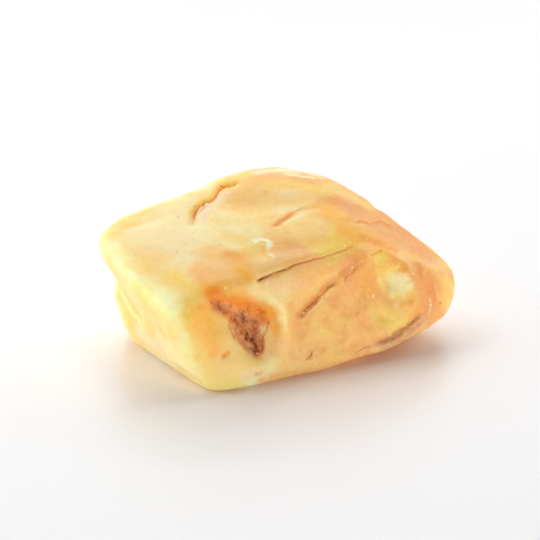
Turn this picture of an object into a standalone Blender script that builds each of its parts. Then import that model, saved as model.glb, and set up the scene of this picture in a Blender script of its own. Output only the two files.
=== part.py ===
"""A raw piece of amber: one tumbled lump of fossil resin that lies on a worn flat.

The lump starts as a sphere whose points move out to a few worn faces. The faces melt into
each other at rounded edges. Hollows, ridges, cracks, chips and one crumbly pit are then
worked into that skin, which is one closed solid.
"""

import math

import bmesh
import bpy
import numpy as np
from mathutils import Vector, noise

MM = 0.001  # metres in a millimetre

# Driving dimensions of the lump.
LENGTH = 36.4 * MM  # along X, from the left corner to the right tip
DEPTH = 25.0 * MM  # along Y
HEIGHT = 15.0 * MM  # along Z, above the flat that it lies on

# The worn faces: the heading and tilt of each face's normal in degrees, and how far the face
# lies from the lump's origin, in millimetres.
FACES = {
    "top": (-95, 75, 11.6),
    "top_right": (-25, 61, 13.75),
    "front": (-65, 17, 8.3),
    "left_end": (-145, -15, 11.9),
    "under_right": (-22, -70, 3.4),
    "bottom": (0, -90, 0.35),
    "back_left": (120, -1, 12.3),
    "back_right": (65, 3, 13.65),
    "back_under": (94, -41, 8.0),
    "right_tip": (-8, -6, 17.6),
    "left_corner": (167, -12, 15.6),
}
HEART = np.array((0.0, 0.0, 6.5))  # the point inside that every face is seen from, in mm
EDGE_POWER = 11  # joins the faces: a higher power makes crisper edges

# Slow swells in the skin: the size of a swell and its height, in millimetres.
SWELLS = ((9.0, 0.30), (4.0, 0.11), (1.8, 0.035))

# Every form below is a route over the skin with its half width and its depth, in millimetres.
# A form with a negative depth stands proud. One point makes a round form.
SOFT_FORMS = {
    "end_groove": (
        [(-17.3, 2.2, 7.8), (-16.6, -0.7, 7.0), (-15.8, -2.4, 5.8), (-14.8, -4.0, 4.6)],
        2.7,
        0.85,
    ),
    "end_hollow": ([(-13.6, -6.0, 5.2), (-12.2, -7.8, 4.6), (-11.0, -9.2, 4.4)], 2.2, 0.35),
    "end_lip": ([(-15.9, -2.9, 4.2), (-14.3, -4.5, 3.1), (-12.7, -6.5, 2.4)], 1.5, -0.20),
    "end_ridge": (
        [(-17.2, -2.0, 10.9), (-14.5, -5.6, 9.9), (-12.4, -8.4, 8.0), (-9.5, -11.2, 6.0)],
        1.4,
        -0.20,
    ),
    "corner_hollow": ([(-17.2, 2.6, 11.9), (-15.6, 1.7, 12.2), (-13.6, 2.2, 12.4)], 2.2, 0.50),
    "front_hollow": ([(-7.0, -11.5, 5.8), (-5.6, -11.5, 4.1)], 2.0, 0.22),
    "pit_basin": ([(-4.9, -10.2, 7.6), (-3.0, -9.8, 6.3), (-2.3, -10.0, 4.8)], 3.1, 0.75),
    "pit_rim": (
        [(-2.5, -8.5, 9.2), (-1.1, -8.3, 8.3), (-0.2, -8.2, 7.5), (0.4, -8.4, 6.0), (0.5, -8.9, 4.3)],
        1.1,
        -0.42,
    ),
    "crack_shelf": ([(-1.6, -4.4, 11.1), (1.2, -3.4, 11.5), (4.6, -2.7, 11.7)], 1.7, 0.20),
    "right_basin": ([(10.9, -3.4, 7.2), (11.6, -3.6, 5.8)], 3.4, 0.38),
    "dimple": ([(11.4, -3.1, 7.6)], 1.9, 0.42),
    "dimple_rim": (
        [(12.6, -1.4, 8.9), (13.9, -1.7, 7.5), (14.4, -2.3, 5.9), (13.8, -3.0, 4.5)],
        0.9,
        -0.24,
    ),
    "top_trough": ([(-4.4, 4.0, 13.4), (0.6, 4.4, 13.8), (5.4, 4.0, 13.2)], 2.4, 0.22),
    "back_scar": ([(-4.6, 11.0, 7.6), (-2.8, 11.5, 6.9)], 4.0, 0.90),
    "back_ledge": (
        [(-12.9, 6.2, 9.1), (-10.5, 7.6, 7.0), (-8.1, 8.9, 5.2), (-5.5, 10.2, 4.3)],
        1.5,
        -0.55,
    ),
    "back_basin": ([(7.3, 9.7, 8.4), (8.4, 9.3, 6.5)], 2.3, 0.80),
    "back_brow": ([(-14.7, 4.4, 12.7), (-12.2, 5.9, 12.9), (-8.4, 8.0, 13.7)], 2.6, 0.22),
    "back_crest": ([(2.6, 11.2, 14.8), (1.1, 11.6, 14.9), (-1.8, 11.8, 14.8)], 2.6, 0.26),
    "tip_belly": ([(15.7, -1.1, 2.5), (13.2, -2.5, 1.6), (10.8, -4.0, 1.1)], 3.0, -0.34),
    "front_foot": ([(-1.8, -10.6, 0.2), (2.4, -8.3, 0.2), (4.7, -7.0, 0.2)], 1.6, 0.30),
    "corner_foot": ([(-9.0, -10.2, 0.6), (-8.0, -11.3, 0.5)], 2.0, 0.60),
    "tip_hollow": ([(16.6, 5.1, 6.5), (15.4, 6.0, 5.0)], 2.4, 0.35),
}
CRACKS = {
    "long_crack": (
        [(-2.3, -7.9, 9.7), (-1.2, -7.3, 10.0), (0.0, -6.6, 10.2), (1.9, -5.4, 10.7), (4.6, -4.3, 11.0),
         (6.9, -2.7, 11.2)],
        0.40,
        0.55,
    ),
    "gash": (
        [(2.1, -7.7, 6.1), (2.7, -7.2, 6.7), (3.5, -6.7, 7.2), (4.3, -6.2, 7.9), (5.7, -5.3, 8.7)],
        0.48,
        0.75,
    ),
    "gash_tail": ([(5.7, -5.3, 8.7), (6.6, -4.5, 9.6), (7.5, -3.6, 10.3)], 0.40, 0.22),
    "scarp": (
        [(-8.8, 1.3, 12.4), (-8.6, 2.8, 12.8), (-7.4, 4.4, 13.3), (-6.4, 5.5, 13.6), (-6.0, 7.2, 14.0),
         (-4.4, 8.0, 14.3)],
        0.62,
        0.55,
    ),
    "short_crack": ([(-0.5, 0.0, 12.3), (0.7, 1.6, 12.7), (2.1, 3.2, 13.2), (3.8, 3.9, 13.3)], 0.45, 0.30),
    "grey_split": (
        [(14.0, -3.2, 4.1), (13.0, -3.9, 3.3), (11.9, -4.5, 2.8), (10.9, -5.0, 2.3), (9.8, -5.6, 2.2)],
        0.60,
        0.62,
    ),
    "grey_tail": ([(8.7, -6.1, 2.4), (7.7, -6.6, 2.1), (6.5, -7.1, 1.9)], 0.40, 0.28),
    "brow_crack": ([(7.4, 1.6, 12.2), (9.5, 3.6, 11.8), (11.7, 4.0, 10.8)], 0.45, 0.20),
    "pit_crevice": (
        [(-3.9, -9.8, 6.9), (-3.4, -9.9, 6.2), (-3.0, -10.1, 5.2), (-2.5, -10.2, 4.2), (-1.8, -10.3, 3.5)],
        0.55,
        0.85,
    ),
    "pit_branch": ([(-2.2, -9.7, 5.7), (-2.5, -10.0, 4.7)], 0.42, 0.50),
    "nick": ([(2.9, -8.4, 2.9), (3.0, -8.6, 2.1)], 0.42, 0.35),
    "back_crack": (
        [(-1.4, 12.3, 13.6), (-2.4, 12.1, 10.8), (-1.9, 12.2, 7.9), (-3.4, 11.4, 5.2), (-4.0, 10.5, 2.6)],
        0.42,
        0.50,
    ),
    "back_split": ([(10.2, 7.1, 11.9), (9.7, 8.6, 9.4), (9.1, 9.0, 7.5), (7.4, 9.9, 4.1)], 0.45, 0.50),
    "corner_crack": ([(-16.7, 3.4, 8.0), (-14.9, 4.8, 5.7), (-12.8, 6.2, 3.4)], 0.42, 0.35),
}
# Shell-shaped chips on the front right and the back: the chip's middle, in millimetres.
CHIPS = (
    (4.9, -6.8, 5.3), (6.9, -5.7, 5.9), (6.3, -6.7, 3.6), (8.9, -5.4, 4.2), (8.4, -4.9, 6.6),
    (10.4, -4.6, 4.8), (9.0, -4.1, 7.9), (12.5, -3.9, 4.0), (5.8, -5.8, 7.0), (9.8, -2.7, 9.7),
    (13.1, -0.1, 9.1), (15.1, -1.3, 7.2), (3.9, -7.9, 3.1), (1.9, -8.3, 4.4), (2.4, 12.0, 9.0),
    (5.2, 10.9, 11.2), (11.6, 7.4, 6.6), (-9.5, 8.2, 9.8),
)
CHIP_HALF_WIDTH = 1.25
CHIP_DEPTH = 0.20

# The crumbly floor of each pit: its middle, its reach, and the height of its crumbs, in millimetres.
CRUMBS = (((-3.1, -10.0, 6.0), 3.0, 0.42), ((7.8, 9.5, 7.6), 2.0, 0.30))
CRUMB_SIZE = 0.9

CRACK_OPENING = 1.3  # a power: one makes a plain V, and more makes a sharper floor with an open mouth
CRACK_WANDER = 0.16  # how far a crack strays from its route, in millimetres
CRACK_WANDER_SIZE = 1.1
ROUTE_LEG = 0.7  # how often a route touches the skin, in millimetres
TINY = 1e-9  # keeps a leg of no length from dividing by zero
SKIN_CUTS = 7  # subdivisions of the icosphere, which leave a point about every 0.25 mm
SKIN_TRIANGLES = 7600  # what is kept of the skin, mostly on its edges and cracks

AMBER_COLOUR = (0.93, 0.68, 0.30, 1.0)
AMBER_ROUGHNESS = 0.28
AMBER_IOR = 1.54


def clear_scene():
    for leftover in list(bpy.data.objects):
        bpy.data.objects.remove(leftover, do_unlink=True)


def unit_icosphere(cuts):
    """An icosphere mesh of radius one."""
    ball = bmesh.new()
    bmesh.ops.create_icosphere(ball, subdivisions=cuts, radius=1.0)
    mesh = bpy.data.meshes.new("amber_skin")
    ball.to_mesh(mesh)
    ball.free()
    return mesh


def read_points(mesh):
    flat = np.empty(len(mesh.vertices) * 3, np.float32)
    mesh.vertices.foreach_get("co", flat)
    return flat.reshape(-1, 3).astype(float)


def write_points(mesh, points):
    mesh.vertices.foreach_set("co", points.astype(np.float32).ravel())
    mesh.update()


def read_normals(mesh):
    flat = np.empty(len(mesh.vertices) * 3, np.float32)
    mesh.vertices.foreach_get("normal", flat)
    return flat.reshape(-1, 3).astype(float)


def noise_at(points, size):
    """Smooth noise from -1 to 1, one value a point, with bumps about that size."""
    return np.array([noise.noise(Vector(p / size)) for p in points])


def noise_vectors_at(points, size):
    return np.array([noise.noise_vector(Vector(p / size)) for p in points])


def move_out_to_faces(directions):
    """Sends each direction from the heart out to the worn faces, which a power sum rounds together."""
    total = np.zeros(len(directions))
    for heading, tilt, reach in FACES.values():
        heading, tilt = math.radians(heading), math.radians(tilt)
        normal = np.array(
            (math.cos(tilt) * math.cos(heading), math.cos(tilt) * math.sin(heading), math.sin(tilt))
        )
        from_heart = reach - normal @ HEART
        total += np.maximum(directions @ normal / from_heart, 0.0) ** EDGE_POWER
    return HEART + directions * (total ** (-1.0 / EDGE_POWER))[:, None]


def fit_to_box(points):
    """Scales the lump to its driving dimensions, with its origin in the middle of its underside."""
    low, high = points.min(axis=0), points.max(axis=0)
    size = np.array((LENGTH, DEPTH, HEIGHT)) / MM
    middle = (low + high) / 2
    middle[2] = low[2]
    return (points - middle) * size / (high - low)


def lay_on_skin(route, skin):
    """The route in short legs, each stop moved to the skin point nearest to it."""
    stops = [np.array(stop, float) for stop in route]
    close = [stops[0]]
    for start, end in zip(stops, stops[1:]):
        legs = max(1, round(np.linalg.norm(end - start) / ROUTE_LEG))
        close += [start + (end - start) * leg / legs for leg in range(1, legs + 1)]
    return [skin[np.argmin(np.linalg.norm(skin - stop, axis=1))] for stop in close]


def distance_to_route(points, stops):
    """How far each point is from a route of straight legs, in millimetres."""
    if len(stops) == 1:
        return np.linalg.norm(points - stops[0], axis=1)
    nearest = np.full(len(points), np.inf)
    for start, end in zip(stops, stops[1:]):
        leg = end - start
        share = np.clip((points - start) @ leg / max(leg @ leg, TINY), 0.0, 1.0)
        foot = start + share[:, None] * leg
        nearest = np.minimum(nearest, np.linalg.norm(points - foot, axis=1))
    return nearest


def soft_profile(share):
    """One at the middle of a form and zero from its half width on, with no edge."""
    return np.clip(1.0 - share**2, 0.0, 1.0) ** 2


def crack_profile(share):
    """A V that is a little open at its mouth."""
    return np.clip(1.0 - share, 0.0, 1.0) ** CRACK_OPENING


def above_flat(points):
    """Zero on the flat that the lump lies on and one from a millimetre above it."""
    return np.clip(points[:, 2], 0.0, 1.0)


def press(mesh, forms, profile, wander=0.0):
    """Works the forms into the skin along its normals."""
    points, normals = read_points(mesh), read_normals(mesh)
    strayed = points
    if wander:
        strayed = points + wander * noise_vectors_at(points, CRACK_WANDER_SIZE)
    sink = np.zeros(len(points))
    for route, half_width, depth in forms:
        stops = lay_on_skin(route, points)
        form = depth * profile(distance_to_route(strayed, stops) / half_width)
        sink = np.where(np.abs(form) > np.abs(sink), form, sink) if wander else sink + form
    write_points(mesh, points - normals * (sink * above_flat(points))[:, None])


def swell(mesh):
    points, normals = read_points(mesh), read_normals(mesh)
    height = sum(high * noise_at(points, size) for size, high in SWELLS)
    write_points(mesh, points + normals * height[:, None])


def wear_flat(mesh):
    """Wears the underside down to the level that the lump lies on."""
    points = read_points(mesh)
    points[:, 2] = np.maximum(points[:, 2], 0.0)
    write_points(mesh, fit_to_box(points))


def crumble(mesh):
    """Roughens the floors of the pits."""
    points, normals = read_points(mesh), read_normals(mesh)
    height = np.zeros(len(points))
    for middle, reach, high in CRUMBS:
        inside = np.linalg.norm(points - np.array(middle), axis=1) < reach
        share = np.linalg.norm(points[inside] - np.array(middle), axis=1) / reach
        height[inside] += high * soft_profile(share) * noise_at(points[inside], CRUMB_SIZE)
    write_points(mesh, points + normals * height[:, None])


def amber_material():
    material = bpy.data.materials.new("cloudy_amber")
    material.use_nodes = True
    shader = material.node_tree.nodes["Principled BSDF"]
    shader.inputs["Base Color"].default_value = AMBER_COLOUR
    shader.inputs["Roughness"].default_value = AMBER_ROUGHNESS
    shader.inputs["Metallic"].default_value = 0.0
    shader.inputs["IOR"].default_value = AMBER_IOR
    return material


def thin_out(lump):
    """Keeps the triangles where the skin bends and drops them where it is nearly flat."""
    few = lump.modifiers.new("keep_edges_and_cracks", "DECIMATE")
    few.decimate_type = "COLLAPSE"
    few.ratio = SKIN_TRIANGLES / len(lump.data.polygons)
    few.use_collapse_triangulate = True


def build_amber(collection):
    mesh = unit_icosphere(SKIN_CUTS)
    write_points(mesh, move_out_to_faces(read_points(mesh)))
    swell(mesh)
    wear_flat(mesh)
    press(mesh, SOFT_FORMS.values(), soft_profile)
    press(mesh, [([middle], CHIP_HALF_WIDTH, CHIP_DEPTH) for middle in CHIPS], soft_profile)
    crumble(mesh)
    press(mesh, CRACKS.values(), crack_profile, wander=CRACK_WANDER)
    write_points(mesh, fit_to_box(read_points(mesh)) * MM)
    mesh.materials.append(amber_material())
    mesh.shade_smooth()
    lump = bpy.data.objects.new("amber_lump", mesh)
    collection.objects.link(lump)
    thin_out(lump)
    return lump


def main():
    clear_scene()
    collection = bpy.data.collections.new("raw_amber_piece")
    bpy.context.scene.collection.children.link(collection)
    build_amber(collection)


main()
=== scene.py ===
import math
import random

import bpy
import numpy as np
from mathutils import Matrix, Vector, noise
from mathutils.bvhtree import BVHTree


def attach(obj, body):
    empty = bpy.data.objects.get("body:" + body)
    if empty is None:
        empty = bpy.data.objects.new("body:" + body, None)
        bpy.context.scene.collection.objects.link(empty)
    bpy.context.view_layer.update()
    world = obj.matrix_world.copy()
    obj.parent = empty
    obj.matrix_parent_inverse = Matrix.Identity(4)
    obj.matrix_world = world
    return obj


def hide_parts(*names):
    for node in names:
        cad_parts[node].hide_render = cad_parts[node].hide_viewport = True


mm = 0.001  # the lump's routes and sizes are in millimetres

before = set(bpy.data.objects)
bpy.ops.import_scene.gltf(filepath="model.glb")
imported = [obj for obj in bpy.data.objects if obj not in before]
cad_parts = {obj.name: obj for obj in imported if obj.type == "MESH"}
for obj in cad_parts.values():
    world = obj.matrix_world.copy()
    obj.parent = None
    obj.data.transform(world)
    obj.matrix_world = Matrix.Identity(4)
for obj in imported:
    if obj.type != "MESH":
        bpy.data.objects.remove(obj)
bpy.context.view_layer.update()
bpy.ops.object.select_all(action="DESELECT")
print("frame loaded")


def pickOnly(piece):
    bpy.ops.object.select_all(action="DESELECT")
    piece.select_set(True)
    bpy.context.view_layer.objects.active = piece


def applyModifier(piece, kind, **values):
    modifier = piece.modifiers.new(kind.lower(), kind)
    for key, value in values.items():
        setattr(modifier, key, value)
    pickOnly(piece)
    bpy.ops.object.modifier_apply(modifier=modifier.name)


def readSkin(mesh, what):
    flat = np.empty(len(mesh.vertices) * 3, np.float32)
    mesh.vertices.foreach_get(what, flat)
    return flat.reshape(-1, 3).astype(float)


def writeSkin(mesh, points):
    mesh.vertices.foreach_set("co", (points * mm).astype(np.float32).ravel())
    mesh.update()


def skinOf(mesh):  # points in millimetres, and the way that each one faces
    return readSkin(mesh, "co") / mm, readSkin(mesh, "normal")


def smoothStep(value, low, high):
    share = np.clip((value - low) / (high - low), 0.0, 1.0)
    return share * share * (3.0 - 2.0 * share)


def noiseAt(points, size):
    return np.array([noise.noise(Vector(p / size)) for p in points])


def wander(points, size, reach):
    return points + reach * np.array([noise.noise_vector(Vector(p / size)) for p in points])


def treeOf(points, mesh):
    return BVHTree.FromPolygons(
        [Vector(p) for p in points], [tuple(face.vertices) for face in mesh.polygons]
    )


def onSkin(place, tree):
    return np.array(tree.find_nearest(Vector(place))[0])


def layOnSkin(route, tree, step):
    stops = [np.array(stop, float) for stop in route]
    close = [stops[0]]
    for start, end in zip(stops, stops[1:]):
        legs = max(1, round(np.linalg.norm(end - start) / step))
        close += [start + (end - start) * leg / legs for leg in range(1, legs + 1)]
    return [onSkin(stop, tree) for stop in close]


def alongRoute(points, stops):
    # distance to the route, share of the way along it, the arm out to the point, the route's heading
    nearest = np.full(len(points), np.inf)
    way = np.zeros(len(points))
    arm = np.zeros((len(points), 3))
    heading = np.zeros((len(points), 3))
    for number, (start, end) in enumerate(zip(stops, stops[1:])):
        leg = end - start
        length = max(np.linalg.norm(leg), 1e-6)
        share = np.clip((points - start) @ leg / length**2, 0.0, 1.0)
        offset = points - start - share[:, None] * leg
        reach = np.linalg.norm(offset, axis=1)
        closer = reach < nearest
        nearest[closer] = reach[closer]
        way[closer] = (number + share[closer]) / (len(stops) - 1)
        arm[closer] = offset[closer]
        heading[closer] = leg / length
    return nearest, way, arm, heading


def nearRoute(points, stops, reach):
    stack = np.array(stops)
    inside = (points > stack.min(0) - reach) & (points < stack.max(0) + reach)
    return np.flatnonzero(np.all(inside, axis=1))


def alongWay(values, way):  # a value that changes along a route
    return np.interp(way, np.linspace(0.0, 1.0, len(values)), values)


def fadeEnds(way, start, end):  # each end fades over a stretch, given as shares of the way
    return smoothStep(way, *start) * smoothStep(1.0 - way, *end)


def awayFrom(points, place, radius):
    return np.linalg.norm(points - place, axis=1) / radius


lumpValues = {
    "grid": 0.222,         # spacing of the skin's points
    "gridSoftening": 6,    # rounds of smoothing after it
    "nearMarks": 0.4,      # how far round a mark the skin is cut finer
    "nearCracks": 0.17,    # and how far round a crack it is cut finer again
    "nearLip": 0.4,        # and round the scarp's lip
    "nearGrains": 0.1,     # and round a grain
    "cutStep": 0.5,        # spacing of the stops when a route is laid on the coarse skin
    "markStep": 0.35,      # and on the fine skin
    "jagSizes": (0.55, 0.18),   # sizes of a route's large and small kinks
    "aboveFloor": (0.05, 0.9),  # heights over which the worn flat ends
    "unevenness": [(2.6, 0.055), (1.1, 0.026), (0.5, 0.010)],  # size and height of the soft swells
    "grainSize": (0.13, 0.03),  # radius and height of a grain
    "paintReach": 1.2,          # no crack's or ridge's paint reaches further
}

# Cracks: half width along the way, depth, how far one bank stands over the other, how jagged it is,
# its stain at both ends, how strong that is along the way, and how broken the stain is.
cracks = {
    "longCrack": {
        "route": [(-2.23, -7.53, 9.54), (-1.69, -7.05, 9.73), (-1.21, -6.82, 9.86), (-0.72, -6.60, 10.05),
                  (-0.24, -6.30, 10.10), (0.39, -5.89, 10.13), (0.86, -6.04, 10.31), (1.32, -5.22, 10.34),
                  (1.84, -4.94, 10.36), (2.83, -4.52, 10.50), (3.44, -4.26, 10.66), (4.06, -4.04, 10.68),
                  (4.82, -3.50, 10.76), (5.44, -3.21, 10.92), (6.20, -2.64, 10.86), (7.20, -2.26, 11.28)],
        "half": [0.19, 0.14, 0.12, 0.14, 0.12, 0.09, 0.09, 0.08, 0.09, 0.11], "deep": 0.26, "bank": 0.04,
        "jag": 0.04, "stain": ("bark", "rust"),
        "ink": [1.0, 0.85, 0.8, 0.9, 0.8, 0.7, 0.7, 0.55, 0.55, 0.35],
    },
    "gash": {
        "route": [(2.12, -7.05, 5.71), (2.57, -6.72, 6.12), (3.07, -6.35, 6.50), (3.56, -6.04, 6.89),
                  (3.74, -5.73, 7.17), (4.30, -5.45, 7.58), (4.81, -4.89, 7.95), (5.46, -4.58, 8.23)],
        "half": [0.12, 0.15, 0.15, 0.16, 0.11, 0.09, 0.11, 0.12], "deep": 0.20, "bank": 0.04,
        "jag": 0.05, "stain": ("brick", "brick"), "ink": [1.0, 1.0, 1.0, 0.95, 0.6, 0.6, 0.8, 0.6],
        "broken": 0.1,
    },
    "gashTail": {
        "route": [(6.30, -4.45, 8.23), (6.54, -4.21, 8.66), (7.05, -3.86, 9.00), (7.42, -3.59, 9.37),
                  (7.93, -3.23, 9.66), (8.29, -2.83, 10.03), (8.56, -2.24, 10.55)],
        "half": [0.10, 0.14, 0.12, 0.09, 0.10], "deep": 0.08, "bank": 0.04,
        "jag": 0.14, "stain": ("brick", "sienna"), "ink": [0.35, 0.5, 0.45, 0.4, 0.4], "broken": 0.7,
    },
    "shortCrack": {
        "route": [(-0.66, 0.11, 12.27), (-0.36, 0.50, 12.34), (-0.06, 0.91, 12.46), (0.25, 1.36, 12.57),
                  (0.62, 1.89, 12.70), (0.91, 2.29, 12.77), (1.27, 2.73, 12.89)],
        "half": [0.20, 0.30, 0.34, 0.30, 0.24, 0.15, 0.10], "deep": 0.05, "bank": 0.03,
        "jag": 0.12, "stain": ("coral", "coral"), "ink": [0.2, 0.3, 0.35, 0.3, 0.25, 0.25, 0.25],
    },
    "shortTail": {
        "route": [(1.27, 2.73, 12.89), (1.53, 3.04, 12.94), (1.79, 3.37, 12.98), (2.00, 3.47, 12.95),
                  (2.26, 3.75, 13.12)],
        "half": [0.08, 0.10, 0.08], "deep": 0.05, "bank": 0.02,
        "jag": 0.08, "stain": ("coral", "soot"), "ink": [0.2, 0.3, 0.5, 0.4], "broken": 0.9,
    },
    "greySplit": {
        "route": [(14.21, -2.21, 3.84), (13.86, -2.33, 3.50), (13.51, -2.41, 3.26), (13.25, -2.59, 2.96),
                  (12.90, -2.68, 2.78), (12.58, -2.91, 2.50), (12.22, -3.08, 2.41), (11.95, -3.45, 2.24),
                  (11.53, -3.67, 2.17), (11.15, -4.07, 2.03), (10.74, -4.22, 1.93), (10.33, -4.45, 1.81),
                  (9.92, -4.63, 1.73)],
        "half": [0.12, 0.20, 0.22, 0.30, 0.42, 0.38, 0.26], "deep": 0.16, "bank": 0.08,
        "jag": 0.16, "stain": ("soot", "soot"), "ink": [0.35, 0.6, 0.5, 0.6, 0.75, 0.65, 0.5],
        "broken": 0.6,
    },
    "greyTail": {
        "route": [(8.88, -5.32, 1.71), (8.37, -5.53, 1.65), (7.86, -5.79, 1.50), (7.46, -6.01, 1.27)],
        "half": [0.14, 0.12, 0.10], "deep": 0.10, "bank": 0.03,
        "jag": 0.08, "stain": ("soot", "sienna"), "ink": [0.5, 0.45, 0.35], "broken": 0.5,
    },
    "browCrack": {
        "route": [(9.12, -2.01, 10.19), (9.37, -1.78, 10.25), (9.76, -1.37, 10.34), (10.30, -0.84, 10.32)],
        "half": [0.11, 0.10, 0.09], "deep": 0.16, "bank": 0.05,
        "jag": 0.06, "stain": ("brick", "rust"), "ink": [0.7, 0.5, 0.6],
    },
    "slopeLine": {
        "route": [(10.68, -0.43, 10.28), (11.12, 0.12, 10.21), (11.54, 0.18, 10.00), (11.92, 0.09, 9.76)],
        "half": [0.10, 0.10], "deep": 0.06, "bank": 0.04,
        "jag": 0.10, "stain": ("clay", "clay"), "ink": [0.4, 0.5, 0.3],
    },
    "archCrack": {
        "route": [(7.52, 1.80, 12.25), (8.19, 2.46, 12.14), (9.10, 2.61, 11.92), (10.23, 4.27, 11.63),
                  (11.03, 4.43, 11.23), (11.96, 4.66, 10.73)],
        "half": [0.12, 0.12], "deep": 0.06, "bank": 0.10,
        "jag": 0.07, "stain": ("rust", "clay"), "ink": [0.2, 0.3, 0.4, 0.5, 0.3],
    },
    "pitCrevice": {
        "route": [(-3.52, -8.95, 5.17), (-3.33, -8.98, 4.82), (-3.14, -9.01, 4.52), (-2.96, -8.97, 4.18),
                  (-2.80, -9.10, 3.97), (-2.68, -9.09, 3.71), (-2.58, -9.07, 3.38), (-2.47, -9.08, 3.01),
                  (-2.17, -9.19, 2.85)],
        "half": [0.09, 0.13, 0.17, 0.22, 0.23, 0.19, 0.20, 0.17, 0.12], "deep": 0.50, "bank": 0.04,
        "jag": 0.06, "stain": ("umber", "umber"), "ink": [0.6, 0.9, 1.0, 1.0, 1.0, 1.0, 1.0, 0.9, 0.7],
    },
    "pitBranch": {
        "route": [(-2.80, -9.10, 3.97), (-2.74, -8.78, 4.20), (-2.63, -8.56, 4.47)],
        "half": [0.12, 0.06], "deep": 0.22, "bank": 0.02,
        "jag": 0.05, "stain": ("umber", "umber"), "ink": [0.9, 0.5],
    },
    "pitTop": {
        "route": [(-3.28, -8.70, 5.64), (-2.99, -8.62, 5.76), (-2.60, -8.55, 5.89), (-2.22, -8.45, 5.77),
                  (-1.83, -8.38, 5.86), (-1.45, -8.34, 6.06)],
        "half": [0.12, 0.10, 0.13, 0.10, 0.12], "deep": 0.22, "bank": 0.06,
        "jag": 0.12, "stain": ("umber", "brick"), "ink": [0.8, 0.7, 0.9, 0.8, 0.9], "broken": 0.3,
    },
    "pitStem": {
        "route": [(-3.80, -8.70, 6.85), (-3.70, -8.77, 6.51), (-3.56, -8.76, 6.14), (-3.42, -8.76, 5.67)],
        "half": [0.08, 0.11, 0.13], "deep": 0.20, "bank": 0.05,
        "jag": 0.10, "stain": ("brick", "umber"), "ink": [0.6, 0.8, 0.9], "broken": 0.2,
    },
    "pitCurl": {
        "route": [(-2.99, -8.68, 5.48), (-2.70, -8.58, 5.61), (-2.32, -8.37, 5.48), (-2.08, -8.51, 5.30),
                  (-2.17, -8.60, 5.04), (-2.56, -8.53, 4.93), (-2.85, -8.54, 5.12)],
        "half": [0.08, 0.08], "deep": 0.12, "bank": 0.02,
        "jag": 0.05, "stain": ("brick", "brick"), "ink": [0.5, 0.7, 0.6], "broken": 0.3,
    },
    "pitEdge": {
        "route": [(-4.53, -8.63, 6.35), (-4.19, -8.72, 5.96), (-4.05, -8.78, 5.57), (-4.23, -9.24, 5.25),
                  (-4.01, -8.87, 4.66)],
        "half": [0.09, 0.08, 0.10], "deep": 0.14, "bank": 0.04,
        "jag": 0.16, "stain": ("umber", "soot"), "ink": [0.6, 0.5, 0.6], "broken": 0.6,
    },
    "pitStripe": {
        "route": [(-1.69, -8.78, 3.99), (-1.74, -9.06, 3.48), (-1.83, -9.35, 2.98)],
        "half": [0.12, 0.16, 0.12], "deep": 0.12, "bank": 0.06,
        "jag": 0.08, "stain": ("sienna", "brick"), "ink": [0.6, 0.8, 0.8], "broken": 0.3,
    },
    "pitNick": {
        "route": [(-5.90, -9.38, 8.18), (-5.83, -9.41, 7.83), (-5.69, -9.43, 7.47)],
        "half": [0.10, 0.12], "deep": 0.14, "bank": 0.04,
        "jag": 0.08, "stain": ("brick", "umber"), "ink": [0.7, 0.8],
    },
    "pitLeft": {
        "route": [(-4.84, -9.60, 6.14), (-4.76, -9.83, 5.72), (-4.60, -9.94, 5.30), (-4.43, -10.06, 4.99),
                  (-4.41, -10.19, 4.73)],
        "half": [0.07, 0.08, 0.09], "deep": 0.14, "bank": 0.03,
        "jag": 0.08, "stain": ("umber", "brick"), "ink": [0.5, 0.6, 0.8], "broken": 0.3,
    },
    "nick": {
        "route": [(3.13, -7.77, 2.37), (3.04, -7.85, 2.07), (2.85, -7.93, 1.73), (2.61, -8.27, 1.73)],
        "half": [0.08, 0.12, 0.08], "deep": 0.16, "bank": 0.02,
        "jag": 0.04, "stain": ("soot", "clay"), "ink": [0.6, 0.7, 0.3],
    },
    "backCrack": {
        "route": [(-1.4, 12.3, 13.6), (-2.4, 12.1, 10.8), (-1.9, 12.2, 7.9), (-3.4, 11.4, 5.2),
                  (-4.0, 10.5, 2.6)],
        "half": [0.10, 0.14, 0.11, 0.13, 0.09], "deep": 0.30, "bank": 0.08,
        "jag": 0.16, "stain": ("umber", "brick"), "ink": [0.4, 0.8, 0.9, 0.6, 0.3],
    },
    "backSplit": {
        "route": [(10.2, 7.1, 11.9), (9.7, 8.6, 9.4), (9.1, 9.0, 7.5), (7.4, 9.9, 4.1)],
        "half": [0.10, 0.18, 0.24, 0.14], "deep": 0.30, "bank": 0.10,
        "jag": 0.16, "stain": ("soot", "soot"), "ink": [0.3, 0.7, 0.8, 0.4],
    },
    "cornerCrack": {
        "route": [(-16.7, 3.4, 8.0), (-14.9, 4.8, 5.7), (-12.8, 6.2, 3.4)],
        "half": [0.10, 0.14, 0.10], "deep": 0.20, "bank": 0.06,
        "jag": 0.12, "stain": ("rust", "clay"), "ink": [0.5, 0.7, 0.4],
    },
}

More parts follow.
